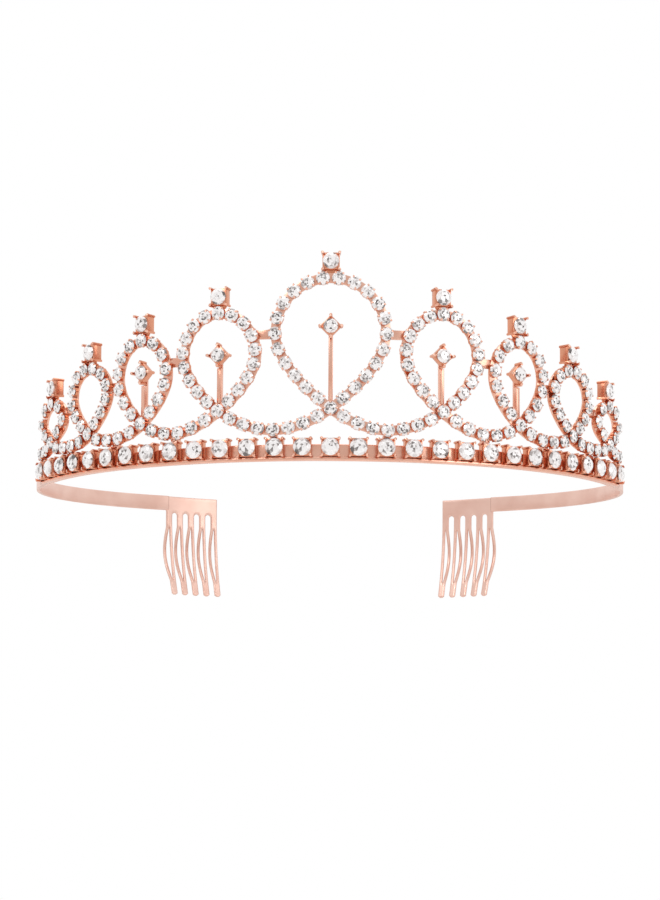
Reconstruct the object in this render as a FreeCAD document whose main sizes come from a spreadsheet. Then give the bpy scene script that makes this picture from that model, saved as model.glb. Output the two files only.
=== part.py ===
"""Bridal tiara: a springy head band with two hair combs, a row of claw-set stones along its front,
and a scroll of nine stone-set loops rising from it, each loop topped by a larger square-set stone.

Millimetres, +Z up, the front of the tiara towards -Y. The origin is the centre of the circle that the
band follows round the head, level with the band's lower edge at the front.

Places on the crown are given as (along, up): the distance along the circle of the stones from the
front, positive towards +X, and the height above the band's lower edge.
"""
import FreeCAD, Part
import math
import os

import Sketcher
from FreeCAD import Placement, Rotation, Vector

UP = Vector(0, 0, 1)
ACROSS = Vector(1, 0, 0)

doc = FreeCAD.newDocument("tiara")
sheet = doc.addObject("Spreadsheet::Sheet", "sizes")
nodes = {}


# ---------------------------------------------------------------- driving dimensions

def sizes(title, **values):
    """Write one group of named values to the spreadsheet, a row for each."""
    sizes.row += 1
    sheet.set(f"A{sizes.row}", title)
    for alias, value in values.items():
        sizes.row += 1
        sheet.set(f"A{sizes.row}", alias.replace("_", " "))
        sheet.set(f"B{sizes.row}", str(value))
        sheet.setAlias(f"B{sizes.row}", alias)


sizes.row = 0
sizes("plan", stone_radius=69.8, rail_back=68.4, rail_face=68.9)
sizes("band, a flat spring strip", band_face=67.65, band_thickness=0.7, band_height=3.6,
      crown_end_angle=71, flex_angle=82, flex_gap=0.25, arm_end_angle=143.4, arm_rise_angle=2.25)
sizes("comb", comb_thickness=0.65, plate_height=4.5, tooth_count=5, tooth_width=1.7, slot_width=1.43,
      tooth_length=20.5, tooth_bend_radius=68, eye_top=7.6, eye_bottom=21.2, bow_depth=1.8,
      lap_height=3.4, lap_angle=3.2)
sizes("base row", base_pitch=6, base_count=29, base_up=2.8, base_stone=3.8, base_cup=4.2,
      base_depth=2.15, ledge_height=0.7)
sizes("scroll strand", strand_stone=2.8, strand_collet=2.9, strand_depth=0.9, rail_width=2.1,
      crossing_slope=36.5, swag_up=6.5)
sizes("finials", finial_stone=3.5, finial_cup=4.0, finial_depth=2.4, finial_rise=3.7,
      neck_width=1.6)
sizes("heads on stems", head_stone=3.1, head_cup=3.7, head_depth=1.85, stem_width=0.95,
      stem_thickness=0.5, stem_depth=1.4)
sizes("joining pieces", bridge_height=2, bridge_depth=0.4, foot_width=1.6, foot_depth=0.55)
sizes("claws", claw_width=0.34, claw_height=0.45)

# Each loop of the scroll, from the middle outwards: where it stands along the crown, half its width,
# the heights of its widest place, its top and its crossing, and the stones round it.
LOOPS = {
    "centre": dict(along=0, half_width=12, widest=27.3, top=39.0, crossing=11.0, stones=22),
    "inner": dict(along=24.6, half_width=8.4, widest=22.8, top=31.9, crossing=10.9, stones=17),
    "middle": dict(along=43.8, half_width=6.7, widest=19.6, top=27.4, crossing=9.3, stones=13),
    "outer": dict(along=60.4, half_width=6.4, widest=17.0, top=22.9, crossing=8.5, stones=12),
    "end": dict(along=77, half_width=5.9, widest=12.8, top=17.0, crossing=8.4, stones=7),
}
# Each swag hangs between two neighbouring loops: its lowest place along the crown, and its stones.
SWAGS = {
    "inner": dict(low=12.3, stones=7),
    "middle": dict(low=35.4, stones=5),
    "outer": dict(low=52.0, stones=4),
    "end": dict(low=68.6, stones=4),
}
TAIL = dict(low=84.6, stones=2)
HEADS = {"centre": 28.6, "inner": 22.9, "middle": 20.4}
BRIDGES = {"inner": 27.0, "middle": 22.0, "outer": 18.0, "end": 14.6}

for loop_name, loop in LOOPS.items():
    sizes(f"loop {loop_name}", **{f"{loop_name}_{key}": value for key, value in loop.items()})
doc.recompute()


def val(alias):
    """The value of one spreadsheet cell."""
    return float(sheet.get(alias))


def bind(item, **formulas):
    """Tie properties to the spreadsheet: bind(box, Length="band_height / 2")."""
    for name, formula in formulas.items():
        item.setExpression(name.replace("__", "."), formula)
    return item


# ---------------------------------------------------------------- places on the crown

STONE_RADIUS = val("stone_radius")


def on_crown(along, up, radius, turn=0.0):
    """A placement whose Z points out from the crown, X along it, turned about Z by turn degrees."""
    bearing = math.degrees(along / STONE_RADIUS)
    facing = Rotation(UP, bearing) * Rotation(ACROSS, 90)
    centre = Rotation(UP, bearing).multVec(Vector(0, -radius, 0)) + Vector(0, 0, up)
    return Placement(centre, facing * Rotation(UP, turn))


def bezier(start, start_pull, end_pull, end, steps=10):
    """Points on a cubic curve from start to end."""
    curve = Part.BezierCurve()
    curve.setPoles([Vector(*place, 0) for place in (start, start_pull, end_pull, end)])
    return [(p.x, p.y) for p in (curve.value(i / steps) for i in range(steps + 1))]


def strand_leg(loop, side, steps=10):
    """The strand from a loop's crossing up to its widest place on one side."""
    slope = math.radians(val("crossing_slope"))
    start = (loop["along"], loop["crossing"])
    end = (loop["along"] + side * loop["half_width"], loop["widest"])
    reach = math.dist(start, end)
    start_pull = (start[0] + side * 0.385 * reach * math.cos(slope),
                  start[1] + 0.385 * reach * math.sin(slope))
    end_pull = (end[0], end[1] - 0.265 * reach)
    return bezier(start, start_pull, end_pull, end, steps)


def strand_loop(loop):
    """The whole strand of a loop: up the right, over the rounded top and down the left."""
    rise = loop["top"] - loop["widest"]
    over = [(loop["along"] + loop["half_width"] * math.cos(a), loop["widest"] + rise * math.sin(a))
            for a in (math.pi * i / 16 for i in range(1, 16))]
    return strand_leg(loop, 1) + over + strand_leg(loop, -1)[::-1]


def half_swag(loop, low, side, steps=10):
    """The strand from a loop's crossing down to the lowest place of the swag beside it."""
    slope = math.radians(val("crossing_slope"))
    start = (loop["along"], loop["crossing"])
    end = (low, val("swag_up"))
    reach = math.dist(start, end)
    start_pull = (start[0] + side * 0.38 * reach * math.cos(slope),
                  start[1] - 0.38 * reach * math.sin(slope))
    end_pull = (end[0] - side * 0.283 * reach, end[1])
    return bezier(start, start_pull, end_pull, end, steps)


def along_strand(path, count):
    """Evenly spaced places between the two ends of a strand: (along, up, heading in degrees)."""
    lengths = [math.dist(a, b) for a, b in zip(path, path[1:])]
    gap = sum(lengths) / (count + 1)
    places = []
    for number in range(1, count + 1):
        left = gap * number
        for (a, b), length in zip(zip(path, path[1:]), lengths):
            if left <= length:
                part = left / length
                heading = math.degrees(math.atan2(b[1] - a[1], b[0] - a[0]))
                places.append((a[0] + part * (b[0] - a[0]), a[1] + part * (b[1] - a[1]), heading))
                break
            left -= length
    return places


def mirrored(path):
    """The same path on the other side of the tiara."""
    return [(-place[0], *place[1:]) for place in path]


# ---------------------------------------------------------------- rails behind the strand

def beside(path, distance):
    """The path moved sideways, to its left when distance is positive."""
    moved = []
    for i, (along, up) in enumerate(path):
        before = path[max(i - 1, 0)]
        after = path[min(i + 1, len(path) - 1)]
        run, rise = after[0] - before[0], after[1] - before[1]
        length = math.hypot(run, rise)
        moved.append((along - distance * rise / length, up + distance * run / length))
    return moved


def trimmed(path, low, high):
    """The stretch of a path between two distances along the crown, cut square to the crown."""
    kept = []
    for a, b in zip(path, path[1:]):
        for limit in (low, high):
            if (a[0] - limit) * (b[0] - limit) < 0:
                part = (limit - a[0]) / (b[0] - a[0])
                kept.append((limit, a[1] + part * (b[1] - a[1])))
        if low <= b[0] <= high:
            kept.append(b)
    if low <= path[0][0] <= high:
        kept.insert(0, path[0])
    return kept


def smooth_edge(path, middle):
    """A smooth edge through places on the crown, laid flat on the rail's middle plane."""
    radius = (val("rail_back") + val("rail_face")) / 2
    flat = [Vector(radius * math.sin((along - middle) / STONE_RADIUS), up, 0) for along, up in path]
    curve = Part.BSplineCurve()
    curve.interpolate(flat)
    return curve.toShape()


def closing(first, second):
    """The straight edge from the end of one edge to the start of the next."""
    return Part.makeLine(first.lastVertex(True).Point, second.firstVertex(True).Point)


def loop_face(loop, middle):
    """The flat outline of a loop's rail: a teardrop ring with its point at the crossing."""
    path = strand_loop(loop)
    half = val("rail_width") / 2
    outer = smooth_edge(beside(path, -half), middle)
    outer_wire = Part.Wire([outer, closing(outer, outer)])
    inside = beside(path, half)
    count = len(inside) // 2
    right = [p for p in inside[:count] if p[0] > loop["along"] + 0.3]
    left = [p for p in inside[-count:] if p[0] < loop["along"] - 0.3]
    over = inside[count:-count]
    slope = math.radians(val("crossing_slope"))
    point = (loop["along"], loop["crossing"] + half / math.cos(slope))
    inner_wire = Part.Wire([smooth_edge([point] + right + over + left + [point], middle)])
    return Part.Face([outer_wire, inner_wire], "Part::FaceMakerBullseye")


def swag_face(path, low, high, middle):
    """The flat outline of the rail along a swag, between two crossings."""
    half = val("rail_width") / 2
    upper = smooth_edge(trimmed(beside(path, half), low, high), middle)
    lower = smooth_edge(trimmed(beside(path, -half), low, high)[::-1], middle)
    return Part.Face(Part.Wire([upper, closing(upper, lower), lower, closing(lower, upper)]))


def add(kind, label):
    """A new object of the document under a name of its own."""
    item = doc.addObject(kind, label)
    item.Label = label
    return item


def full_cylinder(label, radius, bottom, height):
    """A round post on the band's axis."""
    post = add("Part::Cylinder", label)
    bind(post, Radius=radius)
    post.Height = height
    post.Placement = Placement(Vector(0, 0, bottom), Rotation())
    return post


def cut(label, base, tool):
    """What is left of base when tool is taken away."""
    result = add("Part::Cut", label)
    result.Base, result.Tool = base, tool
    return result


def common(label, base, tool):
    """What base and tool share."""
    result = add("Part::Common", label)
    result.Base, result.Tool = base, tool
    return result


def fuse(label, pieces):
    """Pieces made one solid."""
    result = add("Part::MultiFuse", label)
    result.Shapes = pieces
    result.Refine = True
    return result


SPARE = 1             # how far a cutting tool runs past the piece that it cuts
CROWN_HEIGHT = 50     # more than the height of the tallest loop


def rail_shell(label):
    """The thin upright cylinder wall that all the rails are cut from."""
    outer = full_cylinder(label + "_outer", "sizes.rail_face", 0, CROWN_HEIGHT)
    inner = full_cylinder(label + "_inner", "sizes.rail_back", -SPARE, CROWN_HEIGHT + 2 * SPARE)
    return cut(label, outer, inner)


BULGE = 3             # more than a wide loop's wall curves back from the flat


def rail(label, face, middle):
    """A rail: its flat outline extruded outwards and kept where it lies in the crown's wall."""
    outline = add("Part::Feature", label + "_outline")
    outline.Shape = face
    outline.Placement = on_crown(middle, 0, val("rail_back") - BULGE)
    blank = add("Part::Extrusion", label + "_blank")
    blank.Base = outline
    blank.DirMode = "Custom"
    blank.Dir = on_crown(middle, 0, 0).Rotation.multVec(UP)
    blank.LengthFwd = 2 * BULGE + SPARE
    blank.Solid = True
    return common(label, blank, rail_shell(label + "_wall"))


def node(label, item):
    """Name the object that is written out as one node."""
    item.Label = label
    nodes[label] = item
    return item


SIDES = {"left": -1, "right": 1}


def sided_loops():
    """Every loop by name: (node suffix, loop on its own side)."""
    yield "centre", LOOPS["centre"]
    for key in ("inner", "middle", "outer", "end"):
        for side_name, side in SIDES.items():
            yield f"{key}_{side_name}", dict(LOOPS[key], along=side * LOOPS[key]["along"])


loops = dict(sided_loops())
loop_rails = {}
for suffix, loop in loops.items():
    made = rail(f"loop_frame_{suffix}", loop_face(loop, loop["along"]), loop["along"])
    loop_rails[suffix] = node(f"loop_frame_{suffix}", made)


def inboard_of(key):
    """The name of the loop next to this one, towards the middle."""
    names = list(LOOPS)
    return names[names.index(key) - 1]


def swag_path(key):
    """The strand of a swag on the right side, from the inboard crossing to the outboard one."""
    low = SWAGS[key]["low"]
    return half_swag(LOOPS[inboard_of(key)], low, 1) + half_swag(LOOPS[key], low, -1)[-2::-1]


def neighbours(key, side_name):
    """The rails of the two loops that a swag or a bridge joins."""
    inboard = inboard_of(key)
    if inboard != "centre":
        inboard = f"{inboard}_{side_name}"
    return loop_rails[inboard], loop_rails[f"{key}_{side_name}"]


tail_path = half_swag(LOOPS["end"], TAIL["low"], 1)
swag_paths = {key: swag_path(key) for key in SWAGS}
before = None
for side_name, side in SIDES.items():
    for key, path in swag_paths.items():
        low, high = path[0][0], path[-1][0]
        if side < 0:
            path, low, high = mirrored(path)[::-1], -high, -low
        middle = side * SWAGS[key]["low"]
        label = f"swag_frame_{key}_{side_name}"
        strip = rail(label + "_strip", swag_face(path, low, high, middle), middle)
        if key == "inner" and side > 0:
            before = nodes["swag_frame_inner_left"]
        if before:
            strip = cut(label + "_butt", strip, before)
        first, second = neighbours(key, side_name)
        before = node(label, cut(label, cut(label + "_trim", strip, first), second))
    path = tail_path if side > 0 else mirrored(tail_path)[::-1]
    low, high = sorted((side * LOOPS["end"]["along"], side * (TAIL["low"])))
    middle = (low + high) / 2
    label = f"tail_frame_{side_name}"
    strip = rail(label + "_strip", swag_face(path, low, high, middle), middle)
    butt = cut(label + "_butt", strip, before)
    node(label, cut(label, butt, loop_rails[f"end_{side_name}"]))


# ---------------------------------------------------------------- stones and their claw cups

def cone(label, bottom, top, height, raised):
    """A cone frustum on the local Z axis, its sizes and place as formulas."""
    made = add("Part::Cone", label)
    return bind(made, Radius1=bottom, Radius2=top, Height=height, Placement__Base__z=raised)


def block(label, wide, tall, deep, x, y, z):
    """A box, its sizes and its lowest corner as formulas."""
    made = add("Part::Box", label)
    return bind(made, Length=wide, Width=tall, Height=deep,
                Placement__Base__x=x, Placement__Base__y=y, Placement__Base__z=z)


GIRDLE = 0.1          # half the height of a stone's straight edge
SEAT_CLEARANCE = 0.03  # between a stone and the cup that it sits in


def stone(kind):
    """A cut stone: crown, girdle and pavilion, on Z, with the girdle at the origin."""
    across = f"sizes.{kind}_stone"
    deep = f"(sizes.{kind}_depth - 0.2)"
    crown = cone(f"{kind}_crown", f"{across} / 2", f"{across} * 0.29", f"{across} * 0.16", f"{GIRDLE}")
    girdle = cone(f"{kind}_girdle", f"{across} / 2", f"{across} / 2", f"{2 * GIRDLE}", f"-{GIRDLE}")
    bind(girdle, Radius2=f"{across} / 2 - 0.001")
    pavilion = cone(f"{kind}_pavilion", f"{across} * 0.2", f"{across} / 2",
                    f"{deep} - {GIRDLE}", f"-{deep}")
    return fuse(f"{kind}_stone_model", [crown, girdle, pavilion])


def seat(kind):
    """The conical hollow that a stone sits in, a little larger than the stone."""
    across = f"sizes.{kind}_stone"
    deep = f"(sizes.{kind}_depth - 0.2 + {SEAT_CLEARANCE})"
    return cone(f"{kind}_seat", f"{across} * 0.2 + {SEAT_CLEARANCE}", f"{across} / 2 + {SEAT_CLEARANCE}",
                f"{deep} - {GIRDLE}", f"-{deep}")


def claws(kind, reach, angles):
    """Four upright claws round a stone, reach from its centre, at the angles given."""
    made = []
    for number, angle in enumerate(angles):
        claw = add("Part::Box", f"{kind}_claw_{number}")
        bind(claw, Length="sizes.claw_width", Width="sizes.claw_width",
             Height=f"sizes.{kind}_depth * 0.6 + sizes.claw_height")
        inset = Vector(reach, -val("claw_width") / 2, -0.6 * val(f"{kind}_depth"))
        turn = Rotation(UP, angle)
        claw.Placement = Placement(turn.multVec(inset), turn)
        made.append(claw)
    return made


def square_cup(kind):
    """A square cup with a claw at each corner."""
    side = f"sizes.{kind}_cup"
    body = block(f"{kind}_body", side, side, f"sizes.{kind}_depth - 0.35",
                 f"-{side} / 2", f"-{side} / 2", f"-sizes.{kind}_depth")
    hollow = cut(f"{kind}_hollow", body, seat(kind))
    corner = val(f"{kind}_stone") / 2 + SEAT_CLEARANCE
    return [hollow, *claws(kind, corner, (45, 135, 225, 315))]


def round_cup(angles):
    """A round cup of the strand, with its claws at the angles given from the strand's direction."""
    body = add("Part::Cylinder", "strand_body")
    bind(body, Radius="sizes.strand_collet / 2", Height="sizes.strand_depth - 0.25",
         Placement__Base__z="-sizes.strand_depth")
    hollow = cut("strand_hollow", body, seat("strand"))
    reach = val("strand_stone") / 2 + SEAT_CLEARANCE
    return [hollow, *claws("strand", reach, angles)]


def finial_neck():
    """The short neck from a finial's cup down to the top of its loop's rail."""
    bottom = "-(sizes.finial_rise - sizes.rail_width / 2)"
    height = "sizes.finial_rise - sizes.rail_width / 2 - sizes.finial_cup / 2 + 0.2"
    return block("finial_neck", "sizes.neck_width", height, "sizes.rail_face - sizes.rail_back",
                 "-sizes.neck_width / 2", bottom, "sizes.rail_back - sizes.stone_radius")


base_cup = fuse("base_cup_model", square_cup("base"))
strand_cup = fuse("strand_cup_model", round_cup((55, 125, 235, 305)))
crossing_cup = fuse("crossing_cup_model", round_cup((0, 90, 180, 270)))
finial_cup = fuse("finial_cup_model", [*square_cup("finial"), finial_neck()])
head_cup = fuse("head_cup_model", square_cup("head"))
base_stone, strand_stone, finial_stone, head_stone = map(stone, ("base", "strand", "finial", "head"))


def group(label, model, places):
    """One node of identical separate pieces, one at each (along, up, turn) on the crown."""
    doc.recompute()
    copies = []
    for along, up, turn in places:
        copy = model.Shape.copy()
        copy.Placement = on_crown(along, up, STONE_RADIUS, turn)
        copies.append(copy)
    gathered = add("Part::Feature", label)
    gathered.Shape = Part.makeCompound(copies)
    return node(label, gathered)


def stones_in_cups(run, places, model_cup, model_stone, where=""):
    """The node of cups and the node of stones for one run of settings."""
    group(f"{run}_cups{where}", model_cup, places)
    group(f"{run}_stones{where}", model_stone, places)


half_count = (int(val("base_count")) - 1) // 2
base_places = [(i * val("base_pitch"), val("base_up"), 0) for i in range(-half_count, half_count + 1)]
stones_in_cups("base", base_places, base_cup, base_stone)

for suffix, loop in loops.items():
    stones_in_cups("loop", along_strand(strand_loop(loop), loop["stones"]),
                   strand_cup, strand_stone, f"_{suffix}")

for side_name, side in SIDES.items():
    places = [place for key, path in swag_paths.items()
              for place in along_strand(path, SWAGS[key]["stones"])]
    tail_stretch = tail_path + [(TAIL["low"] + val("strand_collet") / 2, val("swag_up"))]
    places += along_strand(tail_stretch, TAIL["stones"])
    if side < 0:
        places = [(-along, up, -turn) for along, up, turn in places]
    stones_in_cups("swag", places, strand_cup, strand_stone, f"_{side_name}")

crossings = [(loop["along"], loop["crossing"], 0) for loop in loops.values()]
stones_in_cups("crossing", crossings, crossing_cup, strand_stone)
finials = [(loop["along"], loop["top"] + val("finial_rise"), 0) for loop in loops.values()]
stones_in_cups("finial", finials, finial_cup, finial_stone)
headed = {suffix: up for suffix in loops for key, up in HEADS.items() if suffix.startswith(key)}
heads = [(loops[suffix]["along"], up, 45) for suffix, up in headed.items()]
stones_in_cups("head", heads, head_cup, head_stone)


# ---------------------------------------------------------------- stems, bridges and feet

def post(label, along, low, high, wide, back, deep):
    """An upright bar on the crown from low to high, its back face at the radius back."""
    bar = add("Part::Box", label)
    bind(bar, Length=wide, Height=deep)
    bar.Width = high - low
    bar.recompute()
    corner = Vector(-bar.Length.Value / 2, 0, 0)
    bar.Placement = on_crown(along, low, back).multiply(Placement(corner, Rotation()))
    return bar


def gather(label, pieces):
    """Separate pieces of one kind as one node."""
    gathered = add("Part::Compound", label)
    gathered.Links = pieces
    return node(label, gathered)


stem_back = STONE_RADIUS - val("head_depth") - val("stem_thickness")
head_foot = val("head_cup") / math.sqrt(2) + 0.1
stems = []
for suffix, up in headed.items():
    along, low = loops[suffix]["along"], loops[suffix]["crossing"]
    tongue = post(f"stem_tongue_{suffix}", along, low, up, "sizes.stem_width", stem_back,
                  "sizes.stem_thickness")
    wall = post(f"stem_wall_{suffix}", along, low, up - head_foot, "sizes.stem_width", stem_back,
                "sizes.stem_depth")
    blank = fuse(f"stem_blank_{suffix}", [tongue, wall])
    stems.append(cut(f"stem_{suffix}", blank, loop_rails[suffix]))
gather("stems", stems)

BRIDGE_INSET = 0.05   # from the back of a rail to the back of a bridge
FOOT_INSET = 0.1      # from the back of the band to the back of a foot, and from its toe to the rail's face
FOOT_CLEARANCE = 0.05  # between a base cup and the toe above it
bridges = []
for key, up in BRIDGES.items():
    for side_name, side in SIDES.items():
        first, second = neighbours(key, side_name)
        inboard, outboard = LOOPS[inboard_of(key)], LOOPS[key]
        near = inboard["along"] + inboard["half_width"]
        far = outboard["along"] - outboard["half_width"]
        bar = post(f"bridge_blank_{key}_{side_name}", side * (near + far) / 2,
                   up - val("bridge_height") / 2, up + val("bridge_height") / 2,
                   f"{far - near}", val("rail_back") + BRIDGE_INSET, "sizes.bridge_depth")
        trim = cut(f"bridge_trim_{key}_{side_name}", bar, first)
        bridges.append(cut(f"bridge_{key}_{side_name}", trim, second))
gather("loop_bridges", bridges)

foot_bottom = val("band_height")
foot_top = val("swag_up") - val("rail_width") / 2
foot_places = [side * swag["low"] for swag in SWAGS.values() for side in (-1, 1)]
foot_places += [side * (TAIL["low"] - 1) for side in (-1, 1)]
foot_back = val("band_face") - val("band_thickness") + FOOT_INSET
step = val("base_up") + val("base_cup") / 2 + FOOT_CLEARANCE
feet = []
for number, along in enumerate(foot_places):
    upright = post(f"foot_upright_{number}", along, foot_bottom, foot_top, "sizes.foot_width",
                   foot_back, "sizes.foot_depth")
    toe = post(f"foot_toe_{number}", along, step, foot_top, "sizes.foot_width", foot_back,
               f"sizes.rail_face - {FOOT_INSET} - {foot_back}")
    feet.append(fuse(f"foot_{number}", [upright, toe]))
gather("swag_feet", feet)


# ---------------------------------------------------------------- head band and arms

def sector(label, start, end, bottom, height, face="band_face", back="band_face - sizes.band_thickness"):
    """A curved strip of wall between two angles from the front, positive to +X."""
    walls = []
    for name, radius in (("face", face), ("back", back)):
        wall = add("Part::Cylinder", f"{label}_{name}")
        bind(wall, Radius=f"sizes.{radius}")
        wall.Height = height
        wall.Angle = end - start
        wall.Placement = Placement(Vector(0, 0, bottom), Rotation(UP, start - 90))
        walls.append(wall)
    return cut(label, *walls)


RISE_LINE = -val("band_face") * math.cos(math.radians(val("crown_end_angle")))
TALL_BLANK = (-2, 16)  # bottom and height of a wall that is taller than the rising arm


def rising_slab(label):
    """A flat slab that climbs towards the back: what the arms' edges follow."""
    slab = add("Part::Box", label)
    bind(slab, Height="sizes.band_height")
    wide = 2 * val("band_face") + 2 * SPARE
    slab.Length, slab.Width = wide, wide
    slab.Placement = Placement(Vector(-wide / 2, RISE_LINE, 0), Rotation(ACROSS, val("arm_rise_angle")))
    return slab


crown_end, flex, arm_end = val("crown_end_angle"), val("flex_angle"), val("arm_end_angle")
front = sector("band_front_wall", -crown_end, crown_end, 0, val("band_height"))
stubs = [common(f"band_stub_{name}", sector(f"stub_wall_{name}", low, high, *TALL_BLANK),
                rising_slab(f"stub_slab_{name}"))
         for name, low, high in (("left", -flex, -crown_end), ("right", crown_end, flex))]
node("band_front", fuse("band_front", [front, *stubs]))
node("base_ledge", sector("base_ledge", -crown_end, crown_end, 0, val("ledge_height"),
                          "rail_face", "band_face"))

gap_angle = math.degrees(val("flex_gap") / val("band_face"))
for name, low, high in (("left", -arm_end, -flex - gap_angle), ("right", flex + gap_angle, arm_end)):
    wall = sector(f"arm_wall_{name}", low, high, *TALL_BLANK)
    node(f"arm_{name}", common(f"arm_{name}", wall, rising_slab(f"arm_slab_{name}")))


# ---------------------------------------------------------------- hair combs

def plane_of(body, role):
    """One of a body's own origin planes."""
    return next(item for item in body.Origin.OriginFeatures if item.Role == role)


def sketch_on(body, role, label):
    """A new sketch on one of the body's origin planes."""
    sketch = body.newObject("Sketcher::SketchObject", label)
    sketch.AttachmentSupport = (plane_of(body, role), [""])
    sketch.MapMode = "FlatFace"
    return sketch


def place_point(sketch, shape, end, name, across, up):
    """Fix one point of a sketch at two formulas."""
    for kind, axis, formula in (("DistanceX", "x", across), ("DistanceY", "y", up)):
        number = sketch.addConstraint(Sketcher.Constraint(kind, -1, 1, shape, end, 1.0))
        sketch.renameConstraint(number, f"{name}_{axis}")
        sketch.setExpression(f"Constraints.{name}_{axis}", formula)


def rectangle(sketch, low, high, start):
    """A rectangle between two corners given as numbers, its corners then fixed by formulas."""
    (x0, x0_formula), (y0, y0_formula) = low
    (x1, x1_formula), (y1, y1_formula) = high
    corners = [Vector(x0, y0, 0), Vector(x1, y0, 0), Vector(x1, y1, 0), Vector(x0, y1, 0)]
    for i in range(4):
        sketch.addGeometry(Part.LineSegment(corners[i], corners[(i + 1) % 4]))
    for i in range(4):
        sketch.addConstraint(Sketcher.Constraint("Coincident", start + i, 2, start + (i + 1) % 4, 1))
    for i, kind in enumerate(("Horizontal", "Vertical", "Horizontal", "Vertical")):
        sketch.addConstraint(Sketcher.Constraint(kind, start + i))
    place_point(sketch, start, 1, f"low_{start}", x0_formula, y0_formula)
    place_point(sketch, start + 1, 2, f"high_{start}", x1_formula, y1_formula)


def revolve(body, sketch, label, angle, backwards=False):
    """Turn a profile about the band's axis."""
    turned = body.newObject("PartDesign::Revolution", label)
    turned.Profile = sketch
    turned.ReferenceAxis = (sketch, ["V_Axis"])
    turned.Reversed = backwards
    return bind(turned, Angle=angle)


def pattern(body, feature, label, count):
    """Repeat a feature round the band's axis, a tooth apart."""
    turned = body.newObject("PartDesign::PolarPattern", label)
    turned.Originals = [feature]
    turned.Axis = (plane_of(body, "Z_Axis"), [""])
    bind(turned, Angle=f"{PITCH_ANGLE} * ({count} - 1)", Occurrences=count)
    body.Tip = turned
    return turned


def cut_through(body, label, low, high):
    """A window cut straight through the comb, its opposite corners given like a rectangle's."""
    sketch = sketch_on(body, "YZ_Plane", label + "_outline")
    rectangle(sketch, low, high, 0)
    pocket = body.newObject("PartDesign::Pocket", label)
    pocket.Profile = sketch
    pocket.Type = "ThroughAll"
    pocket.SideType = "Symmetric"
    return pocket


PITCH = "(sizes.tooth_width + sizes.slot_width)"
PITCH_ANGLE = f"({PITCH} / sizes.band_face * 180 / pi)"
PLATE_ANGLE = f"({PITCH_ANGLE} * sizes.tooth_count - sizes.slot_width / sizes.band_face * 180 / pi)"
BELOW_TEETH = 30
BOW_INSET = 0.05      # from a tooth's side to its bow, so that the two sides never share a plane
BOW_ROOT = 0.08       # how far the ends of a bow stand out from the back of the sheet
BOW_OVERLAP = 0.4     # how far the ends of a bow run into the whole tooth


def arc_band(sketch, centre_x, centre_y, low_angle, high_angle, inner, thickness, names):
    """A curved strip seen on edge: two arcs about one centre, joined at their ends."""
    middle = Vector(centre_x, centre_y, 0)
    arcs = [Part.ArcOfCircle(Part.Circle(middle, UP, radius), low_angle, high_angle)
            for radius in (inner, inner + thickness)]
    for arc in arcs:
        sketch.addGeometry(arc)
    sketch.addGeometry(Part.LineSegment(arcs[0].StartPoint, arcs[1].StartPoint))
    sketch.addGeometry(Part.LineSegment(arcs[1].EndPoint, arcs[0].EndPoint))
    for first, first_end, second, second_end in ((0, 1, 2, 1), (2, 2, 1, 1), (1, 2, 3, 1), (3, 2, 0, 2)):
        sketch.addConstraint(Sketcher.Constraint("Coincident", first, first_end, second, second_end))
    sketch.addConstraint(Sketcher.Constraint("Coincident", 0, 3, 1, 3))
    place_point(sketch, 0, 3, "centre", *names["centre"])
    for number, name in ((0, "inner"), (1, "outer")):
        radius = sketch.addConstraint(Sketcher.Constraint("Radius", number, inner + number * thickness))
        sketch.renameConstraint(radius, name)
        sketch.setExpression(f"Constraints.{name}", names[name])
    for number, end, name in ((0, 2, "top"), (1, 2, "outer_top"), (0, 1, "bottom"), (1, 1, "outer_bottom")):
        height = sketch.addConstraint(Sketcher.Constraint("DistanceY", -1, 1, number, end, 1.0))
        sketch.renameConstraint(height, name)
        sketch.setExpression(f"Constraints.{name}", names[name.replace("outer_", "")])


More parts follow.
